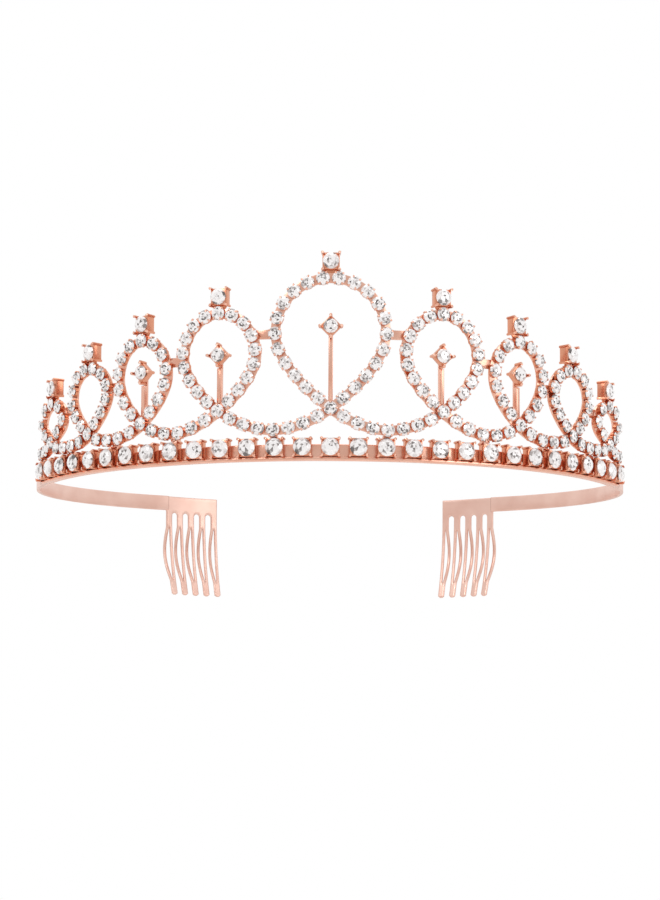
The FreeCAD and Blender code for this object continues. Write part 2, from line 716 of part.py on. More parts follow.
def comb(label):
    """A hair comb stamped from sheet: a plate, and teeth that follow the head, each with an eye
    whose front half is bowed out to grip the hair. Its top edge is level with its own XY plane."""
    face, thickness = val("band_face"), val("comb_thickness")
    plate, bend = val("plate_height"), val("tooth_bend_radius")
    body = add("PartDesign::Body", label)

    plate_profile = sketch_on(body, "XZ_Plane", "plate_profile")
    rectangle(plate_profile, ((face, "sizes.band_face"), (-plate, "-sizes.plate_height")),
              ((face + thickness, "sizes.band_face + sizes.comb_thickness"), (0, "0")), 0)
    revolve(body, plate_profile, "plate", PLATE_ANGLE)

    teeth_profile = sketch_on(body, "XZ_Plane", "teeth_profile")
    swing = -val("tooth_length") / bend
    drop = "sizes.tooth_bend_radius * sin(sizes.tooth_length / sizes.tooth_bend_radius * 1 rad)"
    arc_band(teeth_profile, face - bend, -plate, swing, 0, bend, thickness,
             dict(centre=("sizes.band_face - sizes.tooth_bend_radius", "-sizes.plate_height"),
                  inner="sizes.tooth_bend_radius", outer="sizes.tooth_bend_radius + sizes.comb_thickness",
                  top="-sizes.plate_height", bottom=f"-sizes.plate_height - {drop}"))
    revolve(body, teeth_profile, "teeth_sheet", PLATE_ANGLE)

    lap_profile = sketch_on(body, "XZ_Plane", "lap_profile")
    lap = val("lap_height")
    rectangle(lap_profile, ((face, "sizes.band_face"), (-lap, "-sizes.lap_height")),
              ((face + thickness, "sizes.band_face + sizes.comb_thickness"), (0, "0")), 0)
    revolve(body, lap_profile, "lap", "sizes.lap_angle", backwards=True)

    tooth, slot = val("tooth_width"), val("slot_width")
    gap = cut_through(body, "gap", ((tooth, "sizes.tooth_width"), (-BELOW_TEETH, f"-{BELOW_TEETH}")),
                      ((tooth + slot, PITCH), (-plate, "-sizes.plate_height")))
    pattern(body, gap, "gaps", "sizes.tooth_count - 1")
    eye = cut_through(body, "eye", ((-slot / 4, "-sizes.slot_width / 4"),
                                    (-val("eye_bottom"), "-sizes.eye_bottom")),
                      ((tooth / 2, "sizes.tooth_width / 2"), (-val("eye_top"), "-sizes.eye_top")))
    pattern(body, eye, "eyes", "sizes.tooth_count")

    bow_profile = sketch_on(body, "XZ_Plane", "bow_profile")
    bow_profile.AttachmentOffset = Placement(Vector(0, 0, -BOW_INSET), Rotation())
    top, bottom = BOW_OVERLAP - val("eye_top"), -BOW_OVERLAP - val("eye_bottom")
    heights = [top, (top + bottom) / 2, bottom]
    sheet_face = [face - bend + math.sqrt(bend ** 2 - (up + plate) ** 2) + BOW_ROOT for up in heights]
    sheet_face[1] += val("bow_depth")
    inner_arc = Part.Arc(*(Vector(x, y, 0) for x, y in zip(sheet_face, heights))).toShape().Curve
    middle = inner_arc.Center
    ends = [math.asin((up - middle.y) / inner_arc.Radius) for up in (heights[2], heights[0])]
    arc_band(bow_profile, middle.x, middle.y, *ends, inner_arc.Radius, thickness,
             dict(centre=(str(middle.x), str(middle.y)), inner=str(inner_arc.Radius),
                  outer=f"{inner_arc.Radius} + sizes.comb_thickness",
                  top=f"{BOW_OVERLAP} - sizes.eye_top", bottom=f"-{BOW_OVERLAP} - sizes.eye_bottom"))
    bow = body.newObject("PartDesign::Pad", "bow")
    bow.Profile = bow_profile
    bow.Reversed = True
    bind(bow, Length=f"sizes.tooth_width / 2 - {2 * BOW_INSET}")
    pattern(body, bow, "bows", "sizes.tooth_count")
    return body


doc.recompute()
arm_run = -val("band_face") * math.cos(math.radians(arm_end)) - RISE_LINE
comb_top = arm_run * math.tan(math.radians(val("arm_rise_angle"))) + val("band_height")
right_comb = node("comb_right", comb("comb_right"))
right_comb.Placement = Placement(Vector(0, 0, comb_top), Rotation(UP, arm_end - 90))
left_comb = add("Part::Mirroring", "comb_left")
left_comb.Source, left_comb.Normal, left_comb.Base = right_comb, ACROSS, Vector(0, 0, 0)
node("comb_left", left_comb)


# ---------------------------------------------------------------- check and write

doc.recompute()
for item in doc.Objects:
    if "Invalid" in item.State or "Error" in item.State:
        raise RuntimeError(f"{item.Label} failed: {item.State}")
for label, item in nodes.items():
    if item.Shape.isNull() or not item.Shape.isValid() or not item.Shape.Solids:
        raise RuntimeError(f"{label} has no valid solid")

os.makedirs("parts", exist_ok=True)
for label, item in nodes.items():
    item.Shape.exportStep(f"parts/{label}.step")
    print(f"{label}: {len(item.Shape.Solids)} solids, {item.Shape.Volume:.1f} mm3")
print(f"{len(nodes)} nodes")
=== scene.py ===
# %% [markdown]
# # A rose gold bridal tiara
# The real tiara is a springy head band with a comb at each end, a row of claw-set stones along its
# front, and a scroll of stone-set loops above it. The working model already holds every piece at its
# real size. It could be shown as it is, but its cups are plain and its stones have no facets, so each
# piece is modelled again here, in the place that the frame gives.

# %% Load the frame
import math
import random

import bpy
import numpy as np
from mathutils import Matrix, Vector


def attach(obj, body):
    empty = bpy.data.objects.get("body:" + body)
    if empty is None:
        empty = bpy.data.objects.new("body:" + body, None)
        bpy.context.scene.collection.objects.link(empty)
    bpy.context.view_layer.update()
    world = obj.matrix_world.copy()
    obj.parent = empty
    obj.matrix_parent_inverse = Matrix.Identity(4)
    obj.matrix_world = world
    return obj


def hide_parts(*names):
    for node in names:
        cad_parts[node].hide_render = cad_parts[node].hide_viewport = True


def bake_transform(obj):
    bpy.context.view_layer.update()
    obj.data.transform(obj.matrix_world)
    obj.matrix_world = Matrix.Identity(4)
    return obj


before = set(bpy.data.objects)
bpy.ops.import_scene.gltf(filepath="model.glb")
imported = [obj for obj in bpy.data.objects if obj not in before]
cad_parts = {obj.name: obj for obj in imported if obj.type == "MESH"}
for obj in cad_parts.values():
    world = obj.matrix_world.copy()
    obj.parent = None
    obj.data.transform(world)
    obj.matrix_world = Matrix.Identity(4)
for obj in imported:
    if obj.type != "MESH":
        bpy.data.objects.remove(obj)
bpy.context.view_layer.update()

MM = 0.001
NEAR = 0.01     # millimetres within which two places are the same


# %% [markdown]
# ## Selecting and shaping
# The pieces are modelled with the operators that a person uses in the window, so that each step can
# be tried there. An operator works on all that is selected, so small helpers select exactly what the
# next step needs. Small pieces are modelled in millimetres at the origin and scaled down when
# they are set in place, because operators merge points that are closer than about a micrometre.

# %% Select and edit
def pick(*pieces):
    """Select only these pieces, the first one active."""
    bpy.ops.object.select_all(action="DESELECT")
    for piece in pieces:
        piece.select_set(True)
    bpy.context.view_layer.objects.active = pieces[0]


def edit(piece, *steps):
    """Run mesh operators on a whole piece: each step is (operator, settings)."""
    pick(piece)
    bpy.ops.object.mode_set(mode="EDIT")
    bpy.ops.mesh.select_all(action="SELECT")
    for operator, settings in steps:
        operator(**settings)
    bpy.ops.object.mode_set(mode="OBJECT")


def choose_faces(piece, test):
    """Open a piece for editing with only the faces that pass the test selected."""
    pick(piece)
    bpy.ops.object.mode_set(mode="EDIT")
    bpy.ops.mesh.select_mode(type="FACE")
    bpy.ops.mesh.select_all(action="DESELECT")
    bpy.ops.object.mode_set(mode="OBJECT")
    for face in piece.data.polygons:
        face.select = test(face)
    bpy.ops.object.mode_set(mode="EDIT")


# %% Shape and finish
def apply_modifier(piece, kind, **settings):
    """Add a modifier with its settings and apply it."""
    pick(piece)
    modifier = piece.modifiers.new(kind.lower(), kind)
    for name, value in settings.items():
        setattr(modifier, name, value)
    bpy.ops.object.modifier_apply(modifier=modifier.name)


def round_edges(piece, width):
    """Round a small piece's sharp edges by this many millimetres."""
    apply_modifier(piece, "BEVEL", width=width, segments=2, limit_method="ANGLE")


def join(name, pieces):
    """Pieces as one object of this name, at the origin."""
    pick(*pieces)
    bpy.ops.object.transform_apply(location=True, rotation=True, scale=True)
    if len(pieces) > 1:
        bpy.ops.object.join()
    joined = bpy.context.view_layer.objects.active
    joined.name = joined.data.name = name
    return joined


def block(name, centre, size):
    """A box in millimetres, with its place in its mesh."""
    bpy.ops.mesh.primitive_cube_add(size=1, location=centre, scale=size)
    return join(name, [bpy.context.object])


def smooth(piece, degrees=40):
    """Smooth shading that keeps edges sharper than this angle."""
    pick(piece)
    bpy.ops.object.shade_smooth_by_angle(angle=math.radians(degrees))


# %% Hand a piece to the frame
RECALCULATE = (bpy.ops.mesh.normals_make_consistent, {"inside": False})
SIDES = {"left": -1, "right": 1}


def finish_piece(piece, body, material, slot, *nodes):
    """Give a piece its material, its body and the working nodes that it stands for."""
    piece.data.materials.clear()
    piece.data.materials.append(material)
    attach(piece, body)
    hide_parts(*nodes)


print("sides:", SIDES)


# %% [markdown]
# ## Colours and nodes
# Every finish starts from colours that were given as sRGB hex values, so one function turns them to the
# linear values that a shader needs. The node trees are small, so one helper adds any node with its
# settings, its values and its links.

# %% Colour and node helpers
def colour(text):
    """An sRGB hex colour as linear red, green, blue and alpha."""
    parts = [int(text[i:i + 2], 16) / 255 for i in (1, 3, 5)]
    return (*[p / 12.92 if p <= 0.04045 else ((p + 0.055) / 1.055) ** 2.4 for p in parts], 1.0)


def add_node(tree, kind, values=None, links=None, **settings):
    """A node with its settings, its input values and its links."""
    item = tree.nodes.new(kind)
    for name, value in settings.items():
        setattr(item, name, value)
    for name, value in (values or {}).items():
        item.inputs[name].default_value = value
    for name, source in (links or {}).items():
        tree.links.new(source, item.inputs[name])
    return item


def new_material(name, **values):
    """A material with values on its own shader: (material, its node tree, the shader)."""
    material = bpy.data.materials.new(name)
    material.use_nodes = True
    shader = material.node_tree.nodes["Principled BSDF"]
    for socket, value in values.items():
        shader.inputs[socket.replace("_", " ")].default_value = value
    return material, material.node_tree, shader


def ramp(tree, factor, *stops):
    """A colour ramp through (position, colour) stops."""
    item = add_node(tree, "ShaderNodeValToRGB", links={"Fac": factor})
    while len(item.color_ramp.elements) < len(stops):
        item.color_ramp.elements.new(0.5)
    for element, (position, shade) in zip(item.color_ramp.elements, stops):
        element.position, element.color = position, shade
    return item.outputs["Color"]


print("linear white:", colour("#FFFFFF"))


# %% [markdown]
# ## Rose gold plate
# All the metal is rose gold plate: polished in a tumbler on the cast rails and cups, satin on the
# stamped band and combs. Plate takes its colour from the metal, so its base colour is strong, and
# polished metal shows sharp light and dark bands where satin metal shows one even pale sheen.
# Inside the cups the light bounces from wall to wall and turns a deeper orange. That orange is painted
# shade: a face attribute marks those faces, and their base colour is mixed towards it. An image of worn
# metal would give more variety, but a slow drift of colour and a fine grain are all that shows at this
# size.

# %% Plate the metal
# The deeper orange that is painted on cup faces as shade.
PAINTED_SHADE = "#D78A66"    # plate inside a cup
DRIFT = 6 * MM        # the drift of the plate's thickness along a piece


def rose_gold(name, light, deep, roughness, spread, grain, grain_height):
    """Rose gold plate: colour that drifts a little over the piece, and a fine surface grain."""
    material, tree, shader = new_material(name, Metallic=1.0)
    place = add_node(tree, "ShaderNodeTexCoord").outputs["Object"]
    drift = add_node(tree, "ShaderNodeTexNoise", {"Scale": 1 / DRIFT, "Detail": 2.0},
                     {"Vector": place}).outputs["Fac"]
    texture = add_node(tree, "ShaderNodeTexNoise", {"Scale": 1 / grain, "Detail": 3.0},
                       {"Vector": place}).outputs["Fac"]
    shades = ramp(tree, drift, (0.3, colour(deep)), (0.7, colour(light)))
    # Painted shade: faces marked as inside a cup are mixed towards the deeper orange.
    painted_shade = add_node(tree, "ShaderNodeAttribute", attribute_name="painted_shade").outputs["Fac"]
    with_painted_shade = add_node(tree, "ShaderNodeMix", {"B": colour(PAINTED_SHADE)}, {"Factor": painted_shade, "A": shades},
                    data_type="RGBA").outputs[2]
    tree.links.new(with_painted_shade, shader.inputs["Base Color"])
    rough = add_node(tree, "ShaderNodeMapRange",
                     {"To Min": roughness - spread, "To Max": roughness + spread},
                     {"Value": texture}).outputs["Result"]
    tree.links.new(rough, shader.inputs["Roughness"])
    bump = add_node(tree, "ShaderNodeBump", {"Strength": 0.35, "Distance": grain_height},
                    {"Height": texture}).outputs["Normal"]
    tree.links.new(bump, shader.inputs["Normal"])
    return material


POLISHED = rose_gold("polished_rose_gold_plate", "#F3C3AE", "#E9AE96", roughness=0.24, spread=0.07,
                     grain=0.6 * MM, grain_height=0.02 * MM)
SATIN = rose_gold("satin_rose_gold_plate", "#EDCABC", "#E3BBAC", roughness=0.36, spread=0.05,
                  grain=0.35 * MM, grain_height=0.015 * MM)
print("metals:", POLISHED.name, SATIN.name)


# %% [markdown]
# ## Foil-backed crystal
# The stones are cut crystal with a silver foil behind them. What the eye sees is a mosaic of facets
# that are each white, grey or nearly black, under a hard clear gloss. Real refraction would need
# many bounces in each of more than 200 stones and still turn grey against a white room, so every
# facet has a brightness of its own instead, painted on the mesh as an attribute, and a clear coat
# gives the gloss.

# %% Foil the crystal
def foiled_crystal():
    """Crystal over silver foil: each facet has its own brightness, and a clear polished skin."""
    material, tree, shader = new_material("foiled_cut_crystal", Metallic=0.2, Roughness=0.15,
                                          Coat_Weight=1.0, Coat_Roughness=0.02)
    facet = add_node(tree, "ShaderNodeAttribute", attribute_name="facet").outputs["Fac"]
    shades = ramp(tree, facet, (0.0, colour("#5A5351")), (0.22, colour("#968F8D")),
                  (0.45, colour("#D2CDCC")), (0.75, colour("#F6F4F4")))
    tree.links.new(shades, shader.inputs["Base Color"])
    return material


CRYSTAL = foiled_crystal()
print("stones:", CRYSTAL.name)


# %% [markdown]
# ## Where each stone sits
# On the real crown every stone sits in a claw cup of its own, soldered to a rail. The frame's
# cups are separate solids, so a copy of each cup node can be taken apart and measured: its bearing
# round the head, its height, and the heading of the strand that it sits on, which is the direction
# in which a cup with four claws is narrowest. Writing the places out again would also work, but then
# two files would hold them.

# %% Take a node apart
MERGE = 1e-6      # metres: points of the loose triangles that are the same corner


def islands(node):
    """The points of each separate solid in a working node."""
    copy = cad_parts[node].copy()
    copy.data = copy.data.copy()
    bpy.context.scene.collection.objects.link(copy)
    copy.parent = None
    edit(copy, (bpy.ops.mesh.remove_doubles, {"threshold": MERGE}),
         (bpy.ops.mesh.separate, {"type": "LOOSE"}))
    parts = list(bpy.context.selected_objects)
    found = [np.array([v.co for v in part.data.vertices]) for part in parts]
    for part in parts:
        bpy.data.meshes.remove(part.data)
    return found


def local_points(points, bearing):
    """Points as (along, up, out) about a bearing, measured from the band's axis."""
    x, y, z = points.T
    along = x * math.cos(bearing) + y * math.sin(bearing)
    out = x * math.sin(bearing) - y * math.cos(bearing)
    return np.stack([along, z, out], axis=1)


def seats(node):
    """Each cup of a node as (bearing, up, heading), from left to right."""
    found = []
    for points in islands(node):
        middle = points.mean(axis=0)
        bearing = math.atan2(middle[0], -middle[1])
        flat = local_points(points, bearing)[:, :2]
        flat -= flat.mean(axis=0)
        _, directions = np.linalg.eigh(flat.T @ flat)
        narrow = directions[:, 0]
        found.append((bearing, float(middle[2]), math.atan2(narrow[1], narrow[0])))
    return sorted(found)


# %% Measure the seats
LOOP_KEYS = ("inner", "middle", "outer", "end")
LOOP_NAMES = ["centre"]
for key in LOOP_KEYS:
    LOOP_NAMES = [f"{key}_left", *LOOP_NAMES, f"{key}_right"]
loop_seats = {name: seats(f"loop_cups_{name}") for name in LOOP_NAMES}
swag_seats = {side: seats(f"swag_cups_{side}") for side in SIDES}
crossing_seats = seats("crossing_cups")
base_seats = seats("base_cups")
finial_seats = seats("finial_cups")
head_seats = seats("head_cups")
print("base row:", len(base_seats), "loops:", sum(map(len, loop_seats.values())),
      "swags:", sum(map(len, swag_seats.values())), "crossings:", len(crossing_seats))


# %% [markdown]
# ## Cut stones
# A round stone has a flat table, a crown of small facets, a thin girdle and a hidden back. A cutter
# grinds each facet flat. Here the rings of its corners are added as circles and wrapped in a convex
# hull, which finds the flat facets by itself, and a lathe-turned shape would round them off. The
# table is inset and poked, because the eye sees the facets of the back through it as a star. Four
# differently painted stones of each size are enough for a crown, once they are turned at random.

# %% Model the stones
TABLE, STAR, BACK = 0.56, 0.80, 0.45     # the rings' radii, as shares of the girdle's
STAR_HEIGHT, TABLE_INSET = 0.62, 0.24    # shares of the crown's height and of the girdle's radius
CROWN_SHARE = 0.18                       # the crown's height over the stone's width
FACET_SHADES = (0.02, 0.15, 0.3, 0.5, 0.62, 0.75, 0.85, 0.95, 1.0)
FACET_CHANCES = (5, 8, 9, 8, 10, 12, 16, 16, 16)


def cut_stone(name, across, crown, back, seed):
    """A brilliant-cut stone in millimetres, its girdle on the XY plane."""
    r = across / 2
    bpy.ops.mesh.primitive_circle_add(vertices=8, radius=r * TABLE, location=(0, 0, crown))
    stone = bpy.context.object
    bpy.ops.object.mode_set(mode="EDIT")
    for corners, reach, height, turn in ((8, STAR, crown * STAR_HEIGHT, 22.5), (16, 1.0, 0, 11.25),
                                         (8, BACK, -back, 0)):
        bpy.ops.mesh.primitive_circle_add(vertices=corners, radius=r * reach, location=(0, 0, height),
                                          rotation=(0, 0, math.radians(turn)))
    bpy.ops.mesh.select_all(action="SELECT")
    bpy.ops.mesh.convex_hull(face_threshold=0.01, shape_threshold=0.01)
    bpy.ops.mesh.dissolve_limited(angle_limit=math.radians(0.5))
    bpy.ops.object.mode_set(mode="OBJECT")
    stone = join(name, [stone])
    choose_faces(stone, lambda face: face.center.z > crown - NEAR)
    bpy.ops.mesh.inset(thickness=r * TABLE_INSET)
    bpy.ops.mesh.poke()
    bpy.ops.object.mode_set(mode="OBJECT")
    draw = random.Random(seed)
    shades = stone.data.attributes.new("facet", "FLOAT", "FACE")
    for value in shades.data:
        value.value = draw.choices(FACET_SHADES, FACET_CHANCES)[0]
    return stone


def stone_set(name, across, back):
    """Four stones of one size, painted differently."""
    return [cut_stone(f"{name}_{i}", across, across * CROWN_SHARE, back, seed=across * 100 + i)
            for i in range(4)]


base_stones = stone_set("base_stone", across=3.8, back=1.6)
strand_stones = stone_set("strand_stone", across=2.96, back=0.6)
finial_stones = stone_set("finial_stone", across=3.5, back=1.8)
head_stones = stone_set("head_stone", across=3.1, back=1.3)
print("facets on a stone:", len(strand_stones[0].data.polygons))


# %% [markdown]
# ## Claws
# A claw is a small post, cast with its cup, whose tip the setter bends over the stone's edge. It
# starts as a plain cylinder of a few sides. Its top face is extruded twice, narrower and further
# in each time, which gives the bent, rounded tip with 14 or 20 faces in all: a swept curve would
# be smoother, but there are more than 800 claws.

# %% Model a claw
BEND = ((0.55, 0.32, 0.86), (0.45, 0.16, 0.5))   # shares: of the lean, of the width; then the taper
PAINTED_SHADE_TOP = 0.05                                # millimetres above the girdle: lower faces get painted shade


def claw(reach, foot, tip, width, lean, sides=6):
    """A post from foot to tip, standing at reach from the centre, bent inwards over the stone."""
    bpy.ops.mesh.primitive_cylinder_add(vertices=sides, radius=width / 2, depth=tip - foot,
                                        location=(reach, 0, (tip + foot) / 2))
    post = bpy.context.object
    choose_faces(post, lambda face: face.normal.z > 0.9)
    for shift, rise, taper in BEND:
        bpy.ops.mesh.extrude_region_move(
            TRANSFORM_OT_translate={"value": (-lean * shift, 0, width * rise)})
        bpy.ops.transform.resize(value=(taper, taper, 1))
    bpy.ops.object.mode_set(mode="OBJECT")
    return join("claw", [post])


def mark_painted_shade(piece, top, share):
    """Mark the faces of a cup below a height for painted shade, by this share."""
    marks = piece.data.attributes.new("painted_shade", "FLOAT", "FACE")
    for face, mark in zip(piece.data.polygons, marks.data):
        mark.value = share if face.center.z < top else 0.0


# %% [markdown]
# ## Round cups of the strand
# The small stones sit in round cups of drawn cup chain: a low wall with four claws, two on each
# side of the strand, and one on each quarter at the crossings. There are 173 of them, so a cup is
# only a twelve-sided cylinder with four-sided claws.

# %% Model the round cups
WALL_TOP = 0.2      # millimetres from the stone's girdle down to the wall


def round_cup(name, across, back, angles):
    """A round cup: a short wall with claws round it, at angles in degrees from the strand."""
    bpy.ops.mesh.primitive_cylinder_add(vertices=12, radius=across / 2, depth=back - WALL_TOP,
                                        location=(0, 0, -(back + WALL_TOP) / 2))
    wall = bpy.context.object
    claws = []
    for angle in angles:
        post = claw(across / 2, -back * 0.9, tip=0.2, width=0.44, lean=0.3, sides=4)
        post.data.transform(Matrix.Rotation(math.radians(angle), 4, "Z"))
        claws.append(post)
    cup = join(name, [wall, *claws])
    # The wall and the lower part of the claws get painted shade.
    mark_painted_shade(cup, PAINTED_SHADE_TOP, 0.85)
    smooth(cup)
    return cup


strand_cup = round_cup("strand_cup", 2.9, 0.9, angles=(55, 125, 235, 305))
crossing_cup = round_cup("crossing_cup", 2.9, 0.9, angles=(0, 90, 180, 270))
print("faces of a round cup:", len(strand_cup.data.polygons))


# %% [markdown]
# ## Square cups
# The larger stones stand in square cast cups with a claw up each corner. The base row's claws are
# upright, and the ones on the stems and on top of the loops flare a little. Each cup is a box with
# rounded edges, a little smaller than the square of its claws, so that the claws stand proud.

# %% Model the square cups
BOX_TOP = 0.35        # millimetres from the stone's girdle down to the box
BOX_SHARE = 0.92      # the box's side over the cup's
CLAW_INSET = 0.55     # the claw's middle, in from the cup's corner, over the claw's width
REACH = 0.6           # how far a claw bends over, as a share of the way to the stone's edge
FLARE_FOOT = 0.6      # where the flare starts, as a share of the depth


def square_cup(name, side, stone, back, claw_width, flare):
    """A square cup: a box with a claw up each corner, leaning outwards by flare."""
    box = block(name + "_box", (0, 0, -(back + BOX_TOP) / 2),
                (side * BOX_SHARE, side * BOX_SHARE, back - BOX_TOP))
    round_edges(box, 0.2)
    corner = side / math.sqrt(2) - claw_width * CLAW_INSET
    claws = []
    for i in range(4):
        post = claw(corner, -back, tip=0.16, width=claw_width, lean=(corner - stone / 2) * REACH)
        for v in post.data.vertices:
            v.co.x += flare * max(0, v.co.z + back * FLARE_FOOT)
        post.data.transform(Matrix.Rotation(math.radians(45 + 90 * i), 4, "Z"))
        claws.append(post)
    cup = join(name, [box, *claws])
    # The box and the lower part of the claws get painted shade.
    mark_painted_shade(cup, PAINTED_SHADE_TOP, 0.7)
    smooth(cup)
    return cup


base_cup = square_cup("base_cup", side=4.2, stone=3.8, back=2.15, claw_width=0.6, flare=0.0)
finial_cup = square_cup("finial_cup", side=4.0, stone=3.5, back=2.4, claw_width=0.6, flare=0.08)
head_cup = square_cup("head_cup", side=3.7, stone=3.1, back=1.85, claw_width=0.7, flare=0.1)
print("faces of a square cup:", len(base_cup.data.polygons))


# %% [markdown]
# ## The collar below a finial
# The cup on top of each loop stands on a short collar that narrows to the width of the rail, where
# the two are soldered. It is a box whose lower corners are drawn in, joined to the cup.

# %% Model the collar
def collar(top_width, bottom_width, top, bottom, back, front):
    """The tapered collar below a finial's cup, down to its loop."""
    middle = (top + bottom) / 2
    neck = block("collar", (0, middle, (front + back) / 2), (top_width, top - bottom, front - back))
    for v in neck.data.vertices:
        if v.co.y < middle:
            v.co.x *= bottom_width / top_width
    round_edges(neck, 0.15)
    # Every face of the collar gets painted shade, the deeper orange of the cups.
    mark_painted_shade(neck, 0.0, 0.9)
    return neck


finial_cup = join("finial_cup", [finial_cup, collar(3.5, 1.5, top=-1.7, bottom=-3.5,
                                                    back=-1.5, front=-0.95)])
smooth(finial_cup)
print("faces of a finial:", len(finial_cup.data.polygons))


# %% [markdown]
# ## Setting the stones
# A setter drops each stone into its cup and bends the claws over, so no two sit quite level or the
# same way round. Each seat gets a copy of a cup, and one of the four stones with a tilt of up to
# three degrees. Instances would be lighter, but the finished piece has to be one plain mesh.

# %% Set pieces in their places
STONE_RADIUS = 69.8 * MM     # the circle that the stones' girdles follow
TILT, TURNS = 3.0, 16        # how unevenly a stone sits, in degrees, and its ways round


def facing(bearing, up, heading):
    """The matrix that sets a piece on the crown: its Z outwards, its X along the strand."""
    return (Matrix.Rotation(bearing, 4, "Z") @ Matrix.Translation((0, -STONE_RADIUS, up))
            @ Matrix.Rotation(math.pi / 2, 4, "X") @ Matrix.Rotation(heading, 4, "Z"))


def set_pieces(name, models, places, tilt=0.0, turns=0):
    """Copies of the models, one at each seat, as one piece."""
    draw = random.Random(name)
    copies = []
    for number, (bearing, up, heading) in enumerate(places):
        mesh = draw.choice(models).data.copy()
        lean, roll = [math.radians(draw.uniform(-tilt, tilt)) for _ in range(2)]
        spin = 2 * math.pi * draw.randrange(turns) / turns if turns else 0.0
        uneven = (Matrix.Rotation(lean, 4, "X") @ Matrix.Rotation(roll, 4, "Y")
                  @ Matrix.Rotation(spin, 4, "Z"))
        mesh.transform(facing(bearing, up, heading) @ uneven @ Matrix.Scale(MM, 4))
        copy = bpy.data.objects.new(f"{name}_{number}", mesh)
        bpy.context.scene.collection.objects.link(copy)
        copies.append(copy)
    return join(name, copies)


def straight(places, turn=0.0):
    """The same seats, all turned one way."""
    return [(bearing, up, math.radians(turn)) for bearing, up, _ in places]


def set_row(row, ending, places, cup, stones):
    """The cups and the stones of one row, such as loop and _centre, as two pieces."""
    cup_node, stone_node = f"{row}_cups{ending}", f"{row}_stones{ending}"
    finish_piece(set_pieces("cups_of_" + cup_node, [cup], places), "crown", POLISHED, "rose_gold",
                 cup_node)
    finish_piece(set_pieces("stones_of_" + stone_node, stones, places, TILT, TURNS), "crown", CRYSTAL,
                 "crystal", stone_node)


# %% Set every row
set_row("base", "", straight(base_seats), base_cup, base_stones)
for name, places in loop_seats.items():
    set_row("loop", f"_{name}", places, strand_cup, strand_stones)
for side, places in swag_seats.items():
    set_row("swag", f"_{side}", places, strand_cup, strand_stones)
set_row("crossing", "", straight(crossing_seats), crossing_cup, strand_stones)
set_row("head", "", straight(head_seats, 45), head_cup, head_stones)
set_row("finial", "", straight(finial_seats), finial_cup, finial_stones)

for model in [*base_stones, *strand_stones, *finial_stones, *head_stones, strand_cup, crossing_cup,
              base_cup, finial_cup, head_cup]:
    bpy.data.meshes.remove(model.data)
print("rows set:", len(loop_seats) + len(swag_seats) + 4)


# %% [markdown]
# ## Rails, stems, bridges and feet
# The strands are carried on flat cast rails, tumbled until their edges are soft. The working model
# already has their exact outlines, with hard edges that no cast and polished piece has. Each rail is
# therefore a copy of its working node with its corners merged and every sharp edge rounded, rather
# than a new drawing.

# %% Round the edges of the cast pieces
def rounded_copy(node, width):
    """A copy of a working node with its sharp edges rounded by this many millimetres."""
    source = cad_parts[node]
    copy = source.copy()
    copy.data = source.data.copy()
    bpy.context.scene.collection.objects.link(copy)
    copy.parent = None
    copy.matrix_world = source.matrix_world
    copy = join(node + "_cast", [copy])
    copy.data.transform(Matrix.Scale(1 / MM, 4))
    edit(copy, (bpy.ops.mesh.remove_doubles, {"threshold": 0.004}),
         (bpy.ops.mesh.dissolve_limited, {"angle_limit": math.radians(1.5)}), RECALCULATE)
    apply_modifier(copy, "BEVEL", width=width, segments=2, limit_method="ANGLE",
                   angle_limit=math.radians(50), use_clamp_overlap=True)
    copy.data.transform(Matrix.Scale(MM, 4))
    smooth(copy)
    return copy


EDGES = {"loop_frame_centre": 0.12}      # each cast piece with the rounding of its edges
EDGES.update({f"{kind}_frame_{key}_{side}": 0.12 for kind in ("loop", "swag")
              for key in LOOP_KEYS for side in SIDES})
EDGES.update({f"tail_frame_{side}": 0.12 for side in SIDES})
EDGES.update({"stems": 0.12, "loop_bridges": 0.1, "swag_feet": 0.1, "base_ledge": 0.15})
for node, width in EDGES.items():
    finish_piece(rounded_copy(node, width), "crown", POLISHED, "rose_gold", node)
print("cast pieces:", len(EDGES))


# %% [markdown]
# ## The spring band
# The band is one strip of spring steel, rolled to the shape of the head and plated. Its profile is a
# flat bar with rounded edges, so one profile is drawn and spun about the band's axis: a bent box
# would need its edges rounded again. Behind the crown the strip rises a little.

# %% Spin the strip
BAND_FACE, BAND_THICKNESS, BAND_HEIGHT, BAND_EDGE = 67.65, 0.7, 3.6, 0.26
BAND_MIDDLE = BAND_FACE - BAND_THICKNESS / 2
CROWN_END, ARM_END, ARM_RISE = (math.radians(a) for a in (71, 143.4, 2.25))
RISE_LINE = -BAND_FACE * math.cos(CROWN_END)


def strip(name, start, end, steps):
    """A stretch of the band between two bearings, rising towards the back beyond the crown."""
    bpy.ops.mesh.primitive_plane_add(size=1, location=(0, -BAND_MIDDLE, BAND_HEIGHT / 2),
                                     rotation=(0, math.pi / 2, 0))
    profile = bpy.context.object
    profile.scale = (BAND_HEIGHT, BAND_THICKNESS, 1)
    profile = join(name, [profile])
    edit(profile, (bpy.ops.mesh.bevel, {"affect": "VERTICES", "offset": BAND_EDGE, "segments": 3}))
    profile.data.transform(Matrix.Rotation(start, 4, "Z"))
    edit(profile, (bpy.ops.mesh.spin, {"steps": steps, "angle": start - end, "axis": (0, 0, 1),
                                       "center": (0, 0, 0)}),
         (bpy.ops.mesh.remove_doubles, {"threshold": 0.001}), RECALCULATE)
    for v in profile.data.vertices:
        v.co.z += max(0.0, v.co.y - RISE_LINE) * math.tan(ARM_RISE)
    profile.data.transform(Matrix.Scale(MM, 4))
    smooth(profile, 50)
    return profile


finish_piece(strip("front_strip", -CROWN_END, CROWN_END, 96), "crown", POLISHED, "satin_rose_gold",
             "band_front")
print("front strip:", round(2 * CROWN_END * BAND_FACE), "mm long")
